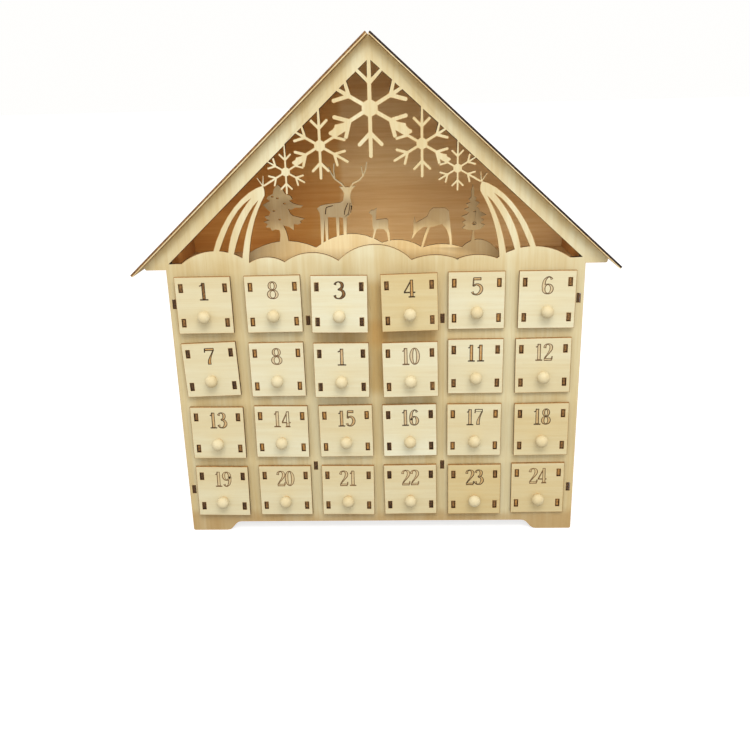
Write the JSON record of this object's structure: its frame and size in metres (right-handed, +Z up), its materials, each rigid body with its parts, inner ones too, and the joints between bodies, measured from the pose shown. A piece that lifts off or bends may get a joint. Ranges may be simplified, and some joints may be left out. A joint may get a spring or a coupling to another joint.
{
  "type": "drawer advent calendar",
  "caption": "House-shaped wooden advent calendar: a rack of small sliding drawers with turned knobs under a fretwork gable with a winter scene.",
  "frame": {"origin": "centre of the footprint of the whole part at rest, on the surface it stands on", "axes": "+Z up; -Y towards the front with the drawers; +X to the right seen from the front"},
  "size_m": [0.3478, 0.0954, 0.3677],
  "materials": {
    "plywood": "unfinished light plywood, laser-cut, with burnt edges",
    "inner_plywood": "unfinished light plywood",
    "scene_plywood": "unfinished light plywood, laser-cut, with engraved lines",
    "drawer_plywood": "unfinished light plywood, laser-cut, with an engraved number",
    "knob_wood": "turned, unfinished"
  },
  "bodies": {
    "carcass": {"front_panel": "plywood", "back_panel": "inner_plywood", "left_wall": "plywood", "right_wall": "plywood", "base_board": "inner_plywood", "attic_floor": "inner_plywood", "drawer_rack": "inner_plywood", "roof_left": "plywood", "roof_right": "plywood", "scene_panel": "scene_plywood"},
    "drawer_01_body": {"drawer_01": "drawer_plywood", "knob_01": "knob_wood"},
    "drawer_02_body": {"drawer_02": "drawer_plywood", "knob_02": "knob_wood"},
    "drawer_03_body": {"drawer_03": "drawer_plywood", "knob_03": "knob_wood"},
    "drawer_04_body": {"drawer_04": "drawer_plywood", "knob_04": "knob_wood"},
    "drawer_05_body": {"drawer_05": "drawer_plywood", "knob_05": "knob_wood"},
    "drawer_06_body": {"drawer_06": "drawer_plywood", "knob_06": "knob_wood"},
    "drawer_07_body": {"drawer_07": "drawer_plywood", "knob_07": "knob_wood"},
    "drawer_08_body": {"drawer_08": "drawer_plywood", "knob_08": "knob_wood"},
    "drawer_09_body": {"drawer_09": "drawer_plywood", "knob_09": "knob_wood"},
    "drawer_10_body": {"drawer_10": "drawer_plywood", "knob_10": "knob_wood"},
    "drawer_11_body": {"drawer_11": "drawer_plywood", "knob_11": "knob_wood"},
    "drawer_12_body": {"drawer_12": "drawer_plywood", "knob_12": "knob_wood"},
    "drawer_13_body": {"drawer_13": "drawer_plywood", "knob_13": "knob_wood"},
    "drawer_14_body": {"drawer_14": "drawer_plywood", "knob_14": "knob_wood"},
    "drawer_15_body": {"drawer_15": "drawer_plywood", "knob_15": "knob_wood"},
    "drawer_16_body": {"drawer_16": "drawer_plywood", "knob_16": "knob_wood"},
    "drawer_17_body": {"drawer_17": "drawer_plywood", "knob_17": "knob_wood"},
    "drawer_18_body": {"drawer_18": "drawer_plywood", "knob_18": "knob_wood"},
    "drawer_19_body": {"drawer_19": "drawer_plywood", "knob_19": "knob_wood"},
    "drawer_20_body": {"drawer_20": "drawer_plywood", "knob_20": "knob_wood"},
    "drawer_21_body": {"drawer_21": "drawer_plywood", "knob_21": "knob_wood"},
    "drawer_22_body": {"drawer_22": "drawer_plywood", "knob_22": "knob_wood"},
    "drawer_23_body": {"drawer_23": "drawer_plywood", "knob_23": "knob_wood"},
    "drawer_24_body": {"drawer_24": "drawer_plywood", "knob_24": "knob_wood"}
  },
  "joints": [
    {"name": "drawer_01_slide", "type": "slide", "parent": "carcass", "child": "drawer_01_body", "axis": [0, -1, 0], "range_m": [-0.0032, 0.0468]},
    {"name": "drawer_02_slide", "type": "slide", "parent": "carcass", "child": "drawer_02_body", "axis": [0, -1, 0], "range_m": [-0.003, 0.047]},
    {"name": "drawer_03_slide", "type": "slide", "parent": "carcass", "child": "drawer_03_body", "axis": [0, -1, 0], "range_m": [-0.007, 0.043]},
    {"name": "drawer_04_slide", "type": "slide", "parent": "carcass", "child": "drawer_04_body", "axis": [0, -1, 0], "range_m": [-0.0057, 0.0443]},
    {"name": "drawer_05_slide", "type": "slide", "parent": "carcass", "child": "drawer_05_body", "axis": [0, -1, 0], "range_m": [-0.0011, 0.0489]},
    {"name": "drawer_06_slide", "type": "slide", "parent": "carcass", "child": "drawer_06_body", "axis": [0, -1, 0], "range_m": [-0.0022, 0.0478]},
    {"name": "drawer_07_slide", "type": "slide", "parent": "carcass", "child": "drawer_07_body", "axis": [0, -1, 0], "range_m": [-0.0018, 0.0482]},
    {"name": "drawer_08_slide", "type": "slide", "parent": "carcass", "child": "drawer_08_body", "axis": [0, -1, 0], "range_m": [-0.0023, 0.0477]},
    {"name": "drawer_09_slide", "type": "slide", "parent": "carcass", "child": "drawer_09_body", "axis": [0, -1, 0], "range_m": [-0.006, 0.044]},
    {"name": "drawer_10_slide", "type": "slide", "parent": "carcass", "child": "drawer_10_body", "axis": [0, -1, 0], "range_m": [-0.007, 0.043]},
    {"name": "drawer_11_slide", "type": "slide", "parent": "carcass", "child": "drawer_11_body", "axis": [0, -1, 0], "range_m": [-0.0005, 0.0495]},
    {"name": "drawer_12_slide", "type": "slide", "parent": "carcass", "child": "drawer_12_body", "axis": [0, -1, 0], "range_m": [-0.0009, 0.0491]},
    {"name": "drawer_13_slide", "type": "slide", "parent": "carcass", "child": "drawer_13_body", "axis": [0, -1, 0], "range_m": [-0.0033, 0.0467]},
    {"name": "drawer_14_slide", "type": "slide", "parent": "carcass", "child": "drawer_14_body", "axis": [0, -1, 0], "range_m": [-0.0022, 0.0478]},
    {"name": "drawer_15_slide", "type": "slide", "parent": "carcass", "child": "drawer_15_body", "axis": [0, -1, 0], "range_m": [-0.002, 0.048]},
    {"name": "drawer_16_slide", "type": "slide", "parent": "carcass", "child": "drawer_16_body", "axis": [0, -1, 0], "range_m": [-0.0021, 0.0479]},
    {"name": "drawer_17_slide", "type": "slide", "parent": "carcass", "child": "drawer_17_body", "axis": [0, -1, 0], "range_m": [-0.0018, 0.0482]},
    {"name": "drawer_18_slide", "type": "slide", "parent": "carcass", "child": "drawer_18_body", "axis": [0, -1, 0], "range_m": [-0.0026, 0.0474]},
    {"name": "drawer_19_slide", "type": "slide", "parent": "carcass", "child": "drawer_19_body", "axis": [0, -1, 0], "range_m": [-0.0021, 0.0479]},
    {"name": "drawer_20_slide", "type": "slide", "parent": "carcass", "child": "drawer_20_body", "axis": [0, -1, 0], "range_m": [-0.0013, 0.0487]},
    {"name": "drawer_21_slide", "type": "slide", "parent": "carcass", "child": "drawer_21_body", "axis": [0, -1, 0], "range_m": [-0.0019, 0.0481]},
    {"name": "drawer_22_slide", "type": "slide", "parent": "carcass", "child": "drawer_22_body", "axis": [0, -1, 0], "range_m": [-0.0014, 0.0486]},
    {"name": "drawer_23_slide", "type": "slide", "parent": "carcass", "child": "drawer_23_body", "axis": [0, -1, 0], "range_m": [-0.0017, 0.0483]},
    {"name": "drawer_24_slide", "type": "slide", "parent": "carcass", "child": "drawer_24_body", "axis": [0, -1, 0], "range_m": [0, 0.05]}
  ]
}
